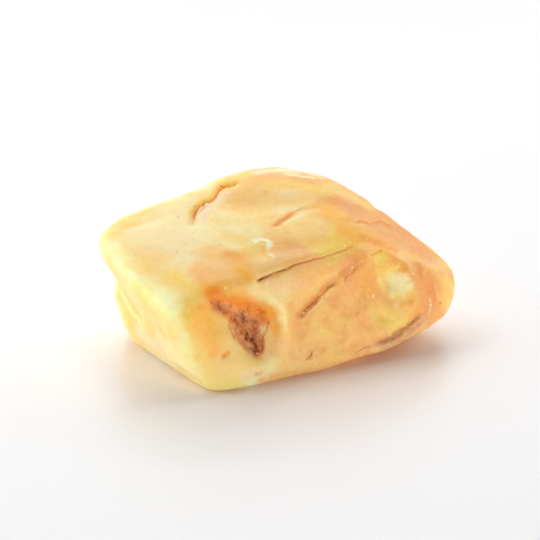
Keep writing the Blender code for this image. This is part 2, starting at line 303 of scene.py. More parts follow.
# Thin raised lines of smooth resin: half width, height, jaggedness, and how strong the pale painted
# highlight along them is.
ridges = {
    "pitRim": {
        "route": [(-1.16, -8.33, 8.26), (-0.72, -8.27, 7.76), (-0.24, -8.21, 7.32), (0.22, -8.13, 6.86),
                  (0.37, -8.19, 6.37), (0.54, -8.30, 5.63), (0.71, -8.41, 4.77)],
        "half": 0.18, "high": 0.045, "jag": 0.07, "pale": 0.1,
    },
    "glint": {
        "route": [(-2.86, -2.60, 11.71), (-2.54, -2.51, 11.73), (-2.20, -2.55, 11.71),
                  (-1.83, -2.15, 11.81), (-1.33, -2.31, 11.77), (-1.03, -2.81, 11.60),
                  (-1.20, -3.35, 11.36), (-1.11, -3.87, 11.16), (-0.72, -4.69, 10.98)],
        "half": 0.20, "high": 0.09, "jag": 0.10, "pale": 0.95,
    },
    "glintLine": {
        "route": [(-0.62, -3.02, 11.47), (-0.28, -2.92, 11.49), (0.17, -2.96, 11.44)],
        "half": 0.11, "high": 0.05, "jag": 0.05, "pale": 0.5,
    },
    "squiggle": {
        "route": [(15.15, -1.32, 5.27), (15.33, -1.51, 4.63), (15.31, -1.66, 4.21), (15.10, -1.91, 3.65)],
        "half": 0.12, "high": 0.07, "jag": 0.08, "pale": 0.45,
    },
    "gashBank": {
        "route": [(2.45, -6.99, 5.58), (2.84, -6.73, 5.90), (3.23, -6.47, 6.26), (3.63, -6.22, 6.53),
                  (3.97, -5.96, 6.89), (4.42, -5.68, 7.10), (4.82, -5.35, 7.38)],
        "half": 0.10, "high": 0.05, "jag": 0.14, "pale": 0.7,
    },
    "tipLine": {
        "route": [(15.85, -0.55, 6.26), (16.02, -0.86, 5.30), (16.22, -0.92, 4.88)],
        "half": 0.11, "high": 0.05, "jag": 0.08, "pale": 0.3,
    },
}

# The scarp is a broken crust: a band slopes down to the jagged lip of the sheet beside it.
scarp = {
    "route": [(-8.66, 2.38, 12.09), (-8.62, 3.05, 12.29), (-8.49, 3.63, 12.62), (-8.28, 4.06, 12.87),
              (-8.08, 4.38, 13.00), (-7.79, 4.59, 13.00), (-7.66, 4.90, 13.20), (-7.22, 5.13, 13.12),
              (-6.94, 5.37, 13.16), (-6.66, 5.79, 13.28), (-6.47, 6.13, 13.40), (-6.43, 6.52, 13.50),
              (-6.24, 6.92, 13.60), (-6.03, 7.29, 13.71), (-5.74, 7.66, 13.82), (-5.35, 7.66, 13.90),
              (-5.06, 7.43, 14.02), (-4.69, 7.61, 14.08), (-4.49, 8.22, 14.05), (-4.26, 8.33, 14.22),
              (-3.96, 8.22, 14.43)],
    "slope": 0.85, "lip": 0.03, "deep": 0.16, "jag": 0.06,
    "rise": 0.08, "riseReach": 1.6,  # the sheet stands up a little towards its lip
    "band": 0.8,                     # width of the stained band
    "tints": [("gold", 0.6, 1.4, 0.9), ("honey", 0.1, 0.9, 0.8), ("amber", 0.0, 0.35, 0.7)],
}

pit = {
    "strokes": [  # a route and the half width along it
        ([(-6.29, -9.64, 8.29), (-5.17, -9.12, 7.70), (-4.04, -8.71, 7.01), (-2.89, -8.43, 6.58),
          (-1.74, -8.33, 6.22)], [0.35, 0.65, 0.95, 1.0, 0.75]),
        ([(-4.24, -8.65, 6.25), (-3.57, -8.93, 5.32), (-2.90, -8.82, 4.22), (-2.42, -9.10, 3.28),
          (-2.25, -9.16, 2.88)], [0.9, 1.3, 1.3, 0.7, 0.3]),
        ([(-1.74, -8.35, 6.12), (-1.64, -8.53, 4.73), (-1.84, -9.08, 3.49)], [0.7, 0.5, 0.35]),
    ],
    "reach": 2.5, "step": 0.4, "sink": 0.26, "edge": 0.40,
    "crumb": 0.16, "crumbSize": 0.34, "fineCrumb": 0.11, "fineSize": 0.17,
    "stray": [(0.9, 0.34), (0.25, 0.136)],  # size and reach of the kinks in its outline
}

chipValues = {
    "count": 190, "radius": (0.30, 1.15), "deep": 0.17, "seed": 11,
    "low": (1.0, -12.0, 0.6), "high": (17.5, -0.8, 10.0),  # the chipped part of the front
    "facing": -0.15, "bend": 0.3, "bendSize": 0.45,
}

pushes = [  # where the left end's upper edge stands out or in: the place, radius and height
    ((-16.30, 2.10, 11.95), 1.7, 0.20), ((-14.70, 3.75, 12.70), 2.0, -0.30),
]

glintBeads = [  # small raised beads, each with a white glint painted on it
    (-7.52, 4.82, 13.07), (-6.24, 5.85, 13.37), (-1.25, -7.58, 9.45), (-5.20, -8.80, 9.43),
    (7.17, -3.63, 9.55), (13.48, -1.22, 7.95), (11.81, -1.33, 8.59), (9.37, -3.32, 6.32),
    (-2.51, -9.12, 2.60), (-2.17, -9.20, 2.75), (2.40, -6.83, 5.94), (3.23, -6.41, 6.45),
    (15.26, -1.55, 4.60), (4.12, -5.76, 7.23), (6.45, -2.40, 11.40), (6.96, -2.06, 11.48),
]

pores = [  # small round holes: the place, radius and depth
    ((-10.32, 2.57, 12.56), 0.13, 0.12), ((-10.09, -3.74, 11.17), 0.12, 0.12),
    ((-5.79, 0.67, 12.39), 0.12, 0.07), ((-8.77, 4.37, 13.12), 0.12, 0.12),
    ((-6.04, 7.79, 14.10), 0.14, 0.14), ((-6.47, 6.34, 13.42), 0.12, 0.10),
    ((-2.1, -11.0, 1.4), 0.20, 0.10), ((-5.3, -11.7, 3.6), 0.28, 0.18),
    ((16.3, -1.1, 4.7), 0.14, 0.12), ((13.5, -1.5, 8.0), 0.12, 0.08),
    ((6.0, 11.2, 9.2), 0.16, 0.12), ((-8.4, 9.0, 6.0), 0.18, 0.14), ((1.8, 11.9, 5.5), 0.14, 0.12),
]


def copyLump():
    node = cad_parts["amber_lump"]
    piece = node.copy()
    piece.data = node.data.copy()
    piece.name = "amberLump"
    piece.data.name = "amberLump"
    piece.parent = None
    for key in list(piece.keys()):
        del piece[key]
    bpy.context.scene.collection.objects.link(piece)
    pickOnly(piece)
    bpy.ops.object.mode_set(mode="EDIT")
    bpy.ops.mesh.select_all(action="SELECT")
    bpy.ops.mesh.remove_doubles(threshold=0.000001)
    bpy.ops.object.mode_set(mode="OBJECT")
    bpy.ops.object.shade_smooth()
    return piece


def gridSkin(piece):
    spacing = lumpValues["grid"] * mm
    applyModifier(piece, "SUBSURF", levels=2, render_levels=2)
    applyModifier(piece, "REMESH", mode="VOXEL", voxel_size=spacing, use_smooth_shade=True)
    applyModifier(piece, "SMOOTH", factor=0.5, iterations=lumpValues["gridSoftening"])


def cutFiner(piece, marks):
    # one more cut through the faces round every mark; a mark is a route and how far round it
    mesh = piece.data
    points = readSkin(mesh, "co") / mm
    tree = treeOf(points, mesh)
    near = np.zeros(len(points), bool)
    for route, reach in marks:
        stops = layOnSkin(route, tree, lumpValues["cutStep"])
        inside = nearRoute(points, stops, reach)
        near[inside[alongRoute(points[inside], stops)[0] < reach]] = True
    pickOnly(piece)
    bpy.ops.object.mode_set(mode="EDIT")
    bpy.ops.mesh.select_mode(type="VERT")
    bpy.ops.mesh.select_all(action="DESELECT")
    bpy.ops.object.mode_set(mode="OBJECT")
    mesh.vertices.foreach_set("select", near)
    bpy.ops.object.mode_set(mode="EDIT")
    bpy.ops.mesh.select_mode(type="FACE")
    bpy.ops.mesh.subdivide(number_cuts=1)
    bpy.ops.object.mode_set(mode="OBJECT")


def refineMarks(piece):
    wide, fine = lumpValues["nearMarks"], lumpValues["nearCracks"]
    marks = list(cracks.values()) + list(ridges.values())
    lines = [(mark["route"], np.max(mark["half"])) for mark in marks]
    spots = [([place, place], radius) for place, radius, deep in pores]
    spots += [([place, place], lumpValues["nearGrains"]) for place in glintBeads]
    broad = [(route, max(reach) * 0.5) for route, reach in pit["strokes"]]
    broad.append((scarp["route"], scarp["slope"]))
    cutFiner(piece, [(route, half + wide) for route, half in lines + broad] + spots)
    lip = [(scarp["route"], lumpValues["nearLip"])]
    cutFiner(piece, [(route, half + fine) for route, half in lines] + lip + spots)


def offFloor(points):  # the worn flat stays flat
    return smoothStep(points[:, 2], *lumpValues["aboveFloor"])


def rollSkin(mesh):
    points, facing = skinOf(mesh)
    height = sum(high * noiseAt(points + 30.0, size) for size, high in lumpValues["unevenness"])
    writeSkin(mesh, points + facing * (height * offFloor(points))[:, None])


def chipFront(mesh):
    # shell-shaped chips crowd on the broken front at the right
    dice = random.Random(chipValues["seed"])
    points, facing = skinOf(mesh)
    low, high = np.array(chipValues["low"]), np.array(chipValues["high"])
    wanted = np.all((points > low) & (points < high), axis=1) & (facing[:, 1] < chipValues["facing"])
    places = np.flatnonzero(wanted)
    places = places[np.lexsort(points[places].T)]  # the skin's own order may change
    sink = np.zeros(len(points))
    for number in range(chipValues["count"]):
        middle = points[places[dice.randrange(len(places))]]
        radius = dice.uniform(*chipValues["radius"]) * dice.uniform(0.5, 1.0)
        deep = chipValues["deep"] * radius * dice.uniform(0.5, 1.1)
        away = awayFrom(points, middle, radius)
        inside = away < 1.4
        bent = away[inside] + chipValues["bend"] * noiseAt(points[inside], chipValues["bendSize"])
        sink[inside] = np.maximum(sink[inside], deep * np.clip(1.0 - bent**2, 0.0, 1.0))
    writeSkin(mesh, points - facing * (sink * offFloor(points))[:, None])


def straying(points, jag):  # a route looks jagged where the points stray before they are measured
    large, small = lumpValues["jagSizes"]
    return wander(wander(points, large, jag), small, jag * 0.6)


def measureMark(mark, points, facing, tree, reach):
    # the points near a mark, their distance to it, their share of its way, and how far to its left they lie
    stops = layOnSkin(mark["route"], tree, lumpValues["markStep"])
    some = nearRoute(points, stops, reach)
    away, way, arm, heading = alongRoute(straying(points[some], mark["jag"]), stops)
    return some, away, way, np.einsum("ij,ij->i", arm, np.cross(facing[some], heading))


def cutCracks(mesh):
    points, facing = skinOf(mesh)
    tree = treeOf(points, mesh)
    move = np.zeros(len(points))
    for crack in cracks.values():
        reach = 4.0 * max(crack["half"]) + crack["jag"] + 0.2
        some, away, way, side = measureMark(crack, points, facing, tree, reach)
        taper = fadeEnds(way, (-0.03, 0.06), (-0.03, 0.12))
        half = alongWay(crack["half"], way) * (0.6 + 0.4 * taper)
        # a groove, and one bank that stands over the other
        groove = np.clip(1.0 - (away / half) ** 1.6, 0.0, 1.0) * half / max(crack["half"])
        bank = np.tanh(side / (0.5 * half)) * np.exp(-((away / (2.8 * half)) ** 2))
        move[some] += taper * (crack["bank"] * bank - crack["deep"] * groove)
    for ridge in ridges.values():
        reach = 3.0 * ridge["half"] + ridge["jag"]
        some, away, way, side = measureMark(ridge, points, facing, tree, reach)
        taper = fadeEnds(way, (-0.05, 0.15), (-0.05, 0.15))
        lump = 0.75 + 0.6 * noiseAt(points[some] + 4.0, 0.5)
        move[some] += taper * lump * ridge["high"] * np.exp(-((away / ridge["half"]) ** 2))
    writeSkin(mesh, points + facing * (move * offFloor(points))[:, None])


def breakScarp(mesh):
    points, facing = skinOf(mesh)
    reach = scarp["riseReach"] + 0.4
    some, away, way, side = measureMark(scarp, points, facing, treeOf(points, mesh), reach)
    taper = fadeEnds(way, (0.0, 0.12), (0.0, 0.25))
    slope = np.clip(1.0 - side / (scarp["slope"] * (0.35 + 0.65 * taper)), 0.0, 1.0) ** 1.3
    lip = smoothStep(side, -scarp["lip"], scarp["lip"])
    level = np.clip(1.0 - away / scarp["riseReach"], 0.0, 1.0)
    move = taper * (scarp["rise"] * level * (1.0 - lip) - scarp["deep"] * slope * lip)
    points[some] += facing[some] * move[:, None]
    writeSkin(mesh, points)


def pitShare(points, tree):  # 1 in the middle of the pit, 0 outside it
    share = np.zeros(len(points))
    route = [stop for stroke in pit["strokes"] for stop in stroke[0]]
    some = nearRoute(points, route, pit["reach"])
    strayed = points[some]
    for size, reach in pit["stray"]:
        strayed = wander(strayed, size, reach)
    for route, reach in pit["strokes"]:
        away, way = alongRoute(strayed, layOnSkin(route, tree, pit["step"]))[:2]
        share[some] = np.maximum(share[some], 1.0 - away / alongWay(reach, way))
    return share


def crumblePit(mesh):
    def grainsAt(places, size, shift):
        return np.array([noise.voronoi(Vector(p / size) + Vector(shift))[0][0] for p in places])

    points, facing = skinOf(mesh)
    share = pitShare(points, treeOf(points, mesh))
    some = np.flatnonzero(share > 0.0)
    inside = smoothStep(share[some], 0.0, pit["edge"])
    coarse = 0.35 - grainsAt(points[some], pit["crumbSize"], (0, 0, 0))
    fine = 0.35 - grainsAt(points[some], pit["fineSize"], (7, 3, 1))
    floor = 0.7 + 0.9 * noiseAt(points[some] + 9.0, 1.0)
    move = inside * (pit["crumb"] * coarse + pit["fineCrumb"] * fine - pit["sink"] * floor)
    points[some] += facing[some] * move[:, None]
    writeSkin(mesh, points)


def drillPores(mesh):
    points, facing = skinOf(mesh)
    tree = treeOf(points, mesh)
    sink = np.zeros(len(points))
    for place, radius, deep in pores:
        away = awayFrom(points, onSkin(place, tree), radius)
        sink += deep * np.clip(1.0 - away**2, 0.0, 1.0) ** 1.5
    radius, high = lumpValues["grainSize"]
    for place in glintBeads:
        away = awayFrom(points, onSkin(place, tree), radius)
        sink -= high * np.clip(1.0 - away**2, 0.0, 1.0)
    for place, radius, high in pushes:
        away = awayFrom(points, np.array(place), radius)
        sink -= high * np.clip(1.0 - away**2, 0.0, 1.0) ** 2
    writeSkin(mesh, points - facing * sink[:, None])


palette = {
    # glintWhite is used only for painted highlights and glints
    "glintWhite": (1.00, 0.93, 0.74), "russet": (0.70, 0.24, 0.07), "ember": (0.88, 0.29, 0.04),
    "dusk": (0.62, 0.35, 0.16), "pale": (1.00, 0.94, 0.55), "lemon": (1.00, 0.89, 0.44),
    "cream": (0.95, 0.79, 0.41), "blush": (0.92, 0.67, 0.42), "butter": (0.99, 0.68, 0.23),
    "peach": (1.00, 0.65, 0.23), "straw": (1.00, 0.64, 0.32), "gold": (1.00, 0.70, 0.18),
    "honey": (0.99, 0.49, 0.06), "amber": (0.84, 0.33, 0.02), "apricot": (1.00, 0.54, 0.18),
    "salmon": (0.89, 0.43, 0.15), "rose": (0.93, 0.40, 0.14), "smoke": (0.76, 0.50, 0.19),
    "orange": (0.90, 0.32, 0.04), "rust": (0.92, 0.41, 0.06), "clay": (0.81, 0.44, 0.23),
    "chalk": (1.00, 0.63, 0.34), "shade": (0.66, 0.35, 0.13), "coral": (0.93, 0.46, 0.14),
    "brick": (0.46, 0.12, 0.025), "umber": (0.14, 0.035, 0.01), "soot": (0.34, 0.24, 0.11),
    "sienna": (0.66, 0.24, 0.05), "moss": (0.42, 0.34, 0.13), "mauve": (0.58, 0.21, 0.09),
    "bark": (0.27, 0.095, 0.03),
}

brush = {
    "step": 0.6,    # spacing of a stroke's stops on the skin
    "broad": 0.55,  # a stroke that reaches further than this wanders, a smaller one is only jagged
    "wander": [(2.2, 0.45), (0.7, 0.18), (0.28, 0.06)],  # size and reach
    "jag": 0.10,
    "poreSpot": 0.10, "glintSpot": 0.11,
}

# Brush strokes over the base coat: colour, reach, strength, softness of the edge, route.
strokes = [
    ("cream", 2.6, 1.0, 1.0,
     [(-14.6, 1.5, 12.0), (-12.1, 2.4, 12.4), (-9.5, 3.1, 12.7), (-7.4, -1.5, 11.8), (-11.4, -1.4, 11.7)]),
    ("blush", 1.0, 0.25, 1.0, [(-12.8, -2.7, 11.4), (-10.0, -3.4, 11.3), (-7.2, -3.9, 11.2)]),
    ("blush", 0.9, 0.25, 1.0, [(-11.9, -1.0, 11.8), (-9.4, -1.4, 11.8)]),
    ("butter", 0.7, 1.0, 1.0, [(-17.2, -0.7, 11.5), (-16.0, 0.2, 11.9), (-14.4, 2.2, 12.1)]),
    ("butter", 0.5, 0.9, 1.0, [(-16.9, 1.4, 11.8), (-15.2, 3.1, 12.5), (-13.3, 4.5, 12.9)]),
    # painted highlight along the ridge between the top and the blunt end: a lemon band with a pale line in
    # it
    ("lemon", 1.0, 0.5, 1.0,
     [(-18.0, -0.5, 11.0), (-16.8, -2.9, 10.9), (-15.6, -4.8, 10.3), (-13.5, -7.3, 9.8)]),
    ("pale", 0.5, 0.9, 1.0, [(-16.3, -2.4, 11.3), (-15.7, -4.2, 10.7)]),
    ("butter", 1.0, 0.25, 1.0, [(-13.3, -3.3, 11.2), (-12.1, -5.2, 10.7), (-10.6, -7.5, 10.1)]),
    ("gold", 0.9, 1.0, 1.0, [(-10.4, -7.5, 10.1), (-9.0, -8.8, 9.8), (-7.8, -9.7, 9.5)]),
    ("cream", 1.4, 1.0, 1.0, [(-7.5, 2.5, 12.7), (-5.4, 1.2, 12.5), (-3.0, -0.8, 12.2)]),
    ("butter", 0.8, 0.55, 1.0, [(-6.4, 1.3, 12.5), (-4.0, 1.0, 12.6), (-2.2, 0.6, 12.5)]),
    ("butter", 0.9, 0.85, 1.0, [(-5.7, -1.3, 12.0), (-3.5, -2.2, 11.8)]),
    ("peach", 0.9, 0.85, 1.0, [(-4.1, 6.8, 14.0), (-2.4, 6.5, 13.9), (-1.4, 5.8, 13.6)]),
    ("blush", 0.6, 0.65, 1.0,
     [(-7.8, 2.2, 12.6), (-7.2, 4.0, 13.0), (-6.2, 4.8, 13.3), (-5.3, 5.9, 13.7)]),
    ("peach", 0.7, 1.0, 1.0, [(-9.5, 6.9, 13.6), (-7.8, 6.3, 13.8)]),
    ("gold", 0.6, 1.0, 1.0, [(-1.2, 7.6, 14.3), (1.6, 7.5, 14.2), (4.7, 6.6, 14.0)]),
    ("apricot", 0.4, 0.4, 1.0, [(-1.2, 7.6, 14.3), (0.3, 7.5, 14.3), (1.5, 7.3, 14.2)]),
    ("apricot", 0.45, 1.0, 1.0,
     [(-0.6, 0.2, 12.2), (0.0, 1.1, 12.5), (0.7, 2.0, 12.8), (1.3, 2.9, 13.0)]),
    ("rust", 0.24, 0.8, 1.0, [(-0.3, 0.5, 12.3), (0.1, 1.2, 12.5), (0.7, 1.9, 12.7), (1.1, 2.5, 12.8)]),
    ("peach", 1.1, 1.0, 1.0, [(-1.2, 4.9, 13.3), (1.3, 4.6, 13.3), (2.6, 5.2, 13.5)]),
    ("butter", 0.8, 1.0, 1.0, [(5.0, 7.4, 14.2), (7.3, 6.5, 13.5), (9.0, 6.0, 12.7)]),
    ("honey", 1.2, 1.0, 1.0, [(4.7, 3.3, 13.1), (5.9, 1.4, 12.7), (6.8, -0.5, 12.1)]),
    ("peach", 1.0, 1.0, 1.0, [(0.5, -0.2, 12.4), (2.5, 0.2, 12.5), (3.9, 0.5, 12.5)]),
    ("peach", 0.7, 1.0, 1.0, [(2.0, -1.8, 11.9), (3.8, -1.5, 12.0)]),
    # painted highlight along the top rim: a lemon band, a pale line and a white glare
    ("lemon", 0.3, 0.75, 0.8, [(-0.2, 10.7, 15.0), (2.2, 11.0, 14.8), (4.5, 9.1, 14.6)]),
    ("pale", 0.18, 0.8, 0.8, [(0.6, 9.7, 14.8), (2.2, 9.3, 14.7), (3.7, 8.9, 14.6)]),
    ("glintWhite", 0.5, 0.6, 1.0,
     [(-2.2, 10.0, 14.9), (-1.2, 10.4, 15.0), (0.1, 10.7, 15.0), (1.8, 10.2, 14.8)]),
    ("salmon", 0.7, 0.45, 1.0, [(7.8, 2.9, 12.5), (9.9, 5.1, 12.0), (11.5, 5.2, 11.1)]),
    ("honey", 1.0, 1.0, 1.0, [(7.6, -0.5, 11.8), (9.5, 0.1, 11.1), (10.9, 0.1, 10.3)]),
    ("amber", 0.5, 1.0, 1.0, [(8.4, -0.6, 11.5), (10.1, -0.1, 10.7)]),
    ("rose", 0.5, 0.75, 1.0, [(9.4, 2.3, 11.7), (11.0, 3.9, 11.0), (12.0, 3.7, 10.5)]),
    ("salmon", 1.6, 0.95, 1.0, [(11.9, 2.1, 10.2), (14.2, 2.4, 9.0), (15.6, 1.4, 8.1)]),
    ("peach", 0.9, 0.6, 1.0, [(15.7, 0.3, 7.5), (16.7, 0.1, 6.2), (17.2, -0.2, 4.6)]),
    ("peach", 0.5, 0.85, 1.0, [(17.4, 0.8, 6.1), (17.9, 1.0, 5.0)]),
    ("salmon", 1.0, 1.0, 1.0, [(14.6, -1.1, 6.5), (15.0, -1.5, 4.9), (15.9, -1.6, 3.2)]),
    ("salmon", 0.8, 1.0, 1.0, [(14.6, -2.3, 3.0), (16.1, -1.4, 3.1)]),
    ("honey", 0.8, 0.25, 1.0, [(3.2, -2.8, 11.5), (5.0, -2.2, 11.6), (7.0, -2.3, 11.2)]),
    ("honey", 1.0, 0.55, 1.0, [(-6.9, -3.6, 11.3), (-5.1, -4.7, 11.1), (-3.5, -5.1, 11.1)]),
    ("amber", 0.6, 0.7, 1.0, [(-5.1, -4.4, 11.2), (-3.9, -5.1, 11.1), (-3.3, -6.3, 10.7)]),
    ("apricot", 1.0, 1.0, 1.0, [(-7.7, -6.8, 10.5), (-6.2, -7.5, 10.3), (-4.6, -7.9, 10.1)]),
    ("apricot", 1.0, 0.75, 1.0, [(-6.6, -5.3, 10.9), (-5.0, -6.0, 10.8), (-3.7, -6.6, 10.6)]),
    ("honey", 0.6, 1.0, 1.0, [(-3.9, -6.9, 10.5), (-3.3, -7.8, 10.1)]),
    ("smoke", 0.8, 0.5, 1.0, [(-2.3, -5.7, 10.9), (-1.2, -5.6, 10.8), (0.4, -4.6, 11.1)]),
    ("smoke", 0.6, 0.6, 1.0, [(-1.7, -6.7, 10.5), (-0.4, -5.8, 10.7), (1.2, -4.9, 11.0)]),
    ("straw", 0.9, 0.7, 1.0, [(-1.3, -7.9, 9.3), (0.0, -7.1, 9.1), (1.8, -6.3, 9.2)]),
    ("apricot", 1.1, 0.95, 1.0, [(2.5, -5.7, 9.8), (4.1, -5.1, 9.4), (5.3, -4.4, 9.8)]),
    ("salmon", 0.7, 1.0, 1.0, [(6.4, -3.8, 9.5), (7.7, -3.3, 9.7), (8.3, -2.6, 10.3)]),
    ("apricot", 1.2, 0.8, 1.0, [(2.0, -6.7, 7.3), (4.9, -5.7, 6.3), (7.1, -4.5, 6.4)]),
    ("apricot", 1.4, 0.75, 1.0, [(6.5, -5.5, 4.6), (4.9, -6.7, 3.3), (2.0, -8.0, 3.2)]),
    ("gold", 0.8, 0.35, 1.0, [(3.1, -6.9, 5.1), (4.7, -6.3, 4.4), (6.1, -5.7, 4.5)]),
    ("apricot", 1.0, 1.0, 1.0, [(8.2, -5.1, 3.4), (6.4, -6.3, 2.2), (3.9, -7.5, 2.1)]),
    ("honey", 1.0, 0.45, 1.0, [(8.7, -2.9, 9.2), (8.6, -3.3, 7.6), (9.0, -3.6, 6.4)]),
    ("honey", 0.6, 0.3, 1.0, [(10.0, -2.1, 8.8), (11.7, -1.3, 8.7), (13.1, -1.2, 8.3)]),
    ("gold", 1.0, 0.8, 1.0, [(10.0, -3.4, 4.4), (11.7, -3.1, 3.6), (12.9, -2.7, 3.6)]),
    ("cream", 0.8, 0.9, 0.6, [(11.2, -1.7, 7.0), (11.9, -1.7, 7.1), (12.5, -1.8, 6.6)]),
    ("pale", 0.6, 0.6, 0.6, [(11.4, -1.7, 7.0), (11.9, -1.6, 7.2), (12.6, -1.7, 6.8)]),
    ("lemon", 0.4, 1.0, 0.8, [(11.3, -2.3, 6.1), (12.3, -2.0, 6.0)]),
    ("butter", 0.5, 1.0, 0.8, [(10.0, -2.2, 7.6), (10.7, -2.2, 6.5)]),
    ("gold", 0.5, 0.7, 0.8, [(11.7, -2.3, 5.7), (13.3, -1.9, 5.9)]),
    ("apricot", 0.7, 0.75, 1.0, [(0.2, -9.4, 1.3), (2.9, -8.2, 1.4), (5.9, -6.7, 1.5), (8.2, -5.6, 1.7)]),
    ("salmon", 0.5, 1.0, 1.0, [(-1.7, -10.5, 0.5), (2.0, -8.6, 0.3), (6.0, -6.6, 0.4), (8.6, -5.3, 0.8)]),
    ("peach", 0.8, 0.9, 1.0, [(-6.5, -12.3, 2.2), (-4.0, -11.3, 2.2), (-2.3, -10.3, 2.3)]),
    ("apricot", 0.7, 0.55, 1.0, [(-0.8, -8.5, 4.5), (-0.8, -9.1, 3.1), (0.2, -9.0, 2.6)]),
    ("clay", 0.5, 1.0, 0.8, [(14.6, -2.3, 3.3), (13.1, -3.1, 2.3), (11.5, -4.2, 1.7), (10.0, -4.8, 1.5)]),
    ("dusk", 0.4, 1.0, 1.0, [(10.6, -4.6, 1.3), (11.9, -3.9, 1.7), (12.9, -3.2, 2.1), (14.0, -2.6, 3.0)]),
    ("clay", 0.3, 0.45, 0.8, [(9.0, -5.3, 1.8), (7.6, -6.0, 1.2)]),
    ("cream", 1.4, 0.5, 1.0, [(-15.0, -5.5, 8.5), (-14.2, -6.1, 7.0), (-13.5, -6.3, 5.9)]),
    ("butter", 0.9, 1.0, 1.0, [(-12.8, -9.0, 8.1), (-12.0, -9.8, 7.0), (-11.3, -9.3, 5.3)]),
    ("blush", 0.8, 0.9, 1.0, [(-14.2, -4.2, 2.8), (-12.8, -6.8, 2.9), (-11.7, -8.0, 2.5)]),
    # painted highlight along the crease on the blunt end
    ("pale", 0.2, 0.7, 1.0,
     [(-16.0, -1.1, 5.9), (-15.3, -2.4, 5.1), (-14.7, -3.2, 4.3), (-13.9, -4.5, 4.0)]),
    ("lemon", 0.4, 0.25, 1.0, [(-16.3, -1.1, 4.3), (-15.7, -1.9, 3.2), (-15.5, -1.4, 1.8)]),
    ("butter", 0.4, 0.35, 0.8, [(-11.0, -10.9, 6.4), (-10.5, -11.2, 5.5), (-10.1, -11.0, 4.4)]),
    # painted highlight down the ridge to the front corner and on down its edge: lemon bands with pale lines
    ("lemon", 0.9, 1.0, 1.0, [(-12.4, -8.4, 9.5), (-11.2, -10.1, 8.9), (-10.2, -11.3, 8.2)]),
    ("pale", 0.5, 0.95, 1.0, [(-11.4, -9.4, 9.3), (-10.6, -10.6, 8.8), (-10.2, -11.3, 8.2)]),
    ("pale", 0.4, 0.8, 1.0, [(-14.5, -6.2, 10.0), (-12.9, -7.8, 9.7)]),
    ("lemon", 0.7, 0.75, 1.0, [(-9.8, -11.6, 7.5), (-9.3, -12.0, 5.5), (-8.5, -12.3, 3.3)]),
    ("butter", 0.8, 0.3, 1.0, [(-8.5, -12.3, 3.3), (-7.2, -12.5, 1.7)]),
    ("gold", 0.6, 0.9, 1.0, [(-8.5, -10.1, 9.3), (-8.5, -11.3, 8.0), (-8.1, -11.7, 6.3)]),
    ("honey", 1.2, 0.8, 1.0, [(-7.2, -10.9, 7.2), (-7.2, -11.4, 5.6), (-6.7, -11.7, 4.1)]),
    ("gold", 0.6, 0.65, 1.0, [(-7.8, -11.8, 5.3), (-7.0, -12.1, 3.6)]),
    ("apricot", 0.8, 0.8, 1.0, [(-7.1, -8.5, 9.9), (-5.5, -8.5, 9.8), (-3.8, -8.4, 9.7)]),
    ("honey", 0.7, 0.65, 1.0, [(-7.0, -9.5, 9.4), (-5.3, -8.9, 9.2), (-3.5, -8.5, 8.6)]),
    ("orange", 0.7, 1.0, 1.0, [(-6.5, -9.7, 8.7), (-5.2, -9.0, 8.3), (-3.8, -8.6, 7.8)]),
    ("orange", 0.7, 1.0, 1.0, [(-3.1, -8.3, 7.5), (-1.7, -8.1, 7.1), (-1.1, -8.2, 6.5)]),
    ("ember", 0.6, 1.0, 1.0,
     [(-6.4, -9.7, 8.6), (-5.2, -9.0, 8.1), (-3.8, -8.6, 7.4), (-2.3, -8.2, 6.7)]),
    ("russet", 0.54, 1.0, 0.8,
     [(-6.1, -9.6, 8.0), (-5.4, -9.3, 7.4), (-4.6, -8.7, 6.3), (-4.0, -8.8, 5.7)]),
    ("russet", 0.54, 0.95, 0.8, [(-3.9, -8.8, 6.3), (-2.9, -8.6, 5.8), (-1.7, -8.4, 5.7)]),
    ("russet", 0.54, 1.0, 0.7,
     [(-3.7, -8.9, 5.4), (-3.2, -9.0, 4.6), (-2.7, -9.1, 3.7), (-2.2, -9.2, 3.1)]),
    ("russet", 0.54, 1.0, 0.7, [(-2.5, -8.6, 4.9), (-2.3, -8.9, 4.0), (-2.1, -9.2, 3.2)]),
    ("russet", 0.5, 0.7, 1.0, [(-4.5, -9.2, 5.8), (-4.0, -9.7, 4.9), (-3.4, -9.0, 3.5)]),
    ("ember", 0.4, 0.8, 0.9, [(-2.3, -8.2, 6.5), (-1.5, -8.3, 6.2), (-1.4, -8.3, 5.7)]),
    ("mauve", 0.5, 0.6, 1.0,
     [(-3.7, -8.8, 6.2), (-2.9, -8.7, 5.4), (-2.5, -8.7, 4.4), (-2.3, -9.1, 3.5)]),
    ("mauve", 0.35, 0.5, 1.0, [(-6.1, -9.6, 8.0), (-5.6, -9.3, 7.5), (-5.0, -9.3, 6.9)]),
    # painted white glint over the glint ridge
    ("glintWhite", 0.26, 0.75, 0.9,
     [(-2.4, -2.1, 11.8), (-1.8, -2.0, 11.8), (-1.2, -2.3, 11.8), (-1.0, -3.0, 11.5)]),
    ("peach", 0.25, 0.85, 0.9, [(-3.3, -10.3, 3.1), (-2.6, -10.1, 2.7), (-1.8, -9.6, 2.7)]),
    ("ember", 0.3, 0.6, 0.9, [(-5.0, -9.4, 6.8), (-4.6, -8.8, 6.1)]),
    ("honey", 0.4, 0.75, 1.0, [(-1.2, -8.2, 6.9), (-0.5, -8.3, 5.9), (-0.4, -8.5, 4.7)]),
    ("peach", 0.4, 0.75, 1.0, [(-1.0, -8.6, 4.1), (-1.2, -9.1, 3.3)]),
    ("rust", 0.22, 1.0, 0.8, [(-5.3, -11.3, 3.5), (-5.0, -11.1, 3.7)]),
    ("orange", 0.3, 0.55, 1.0, [(-7.5, -10.7, 8.3), (-6.6, -10.0, 7.9)]),
    ("straw", 0.34, 0.45, 0.9,
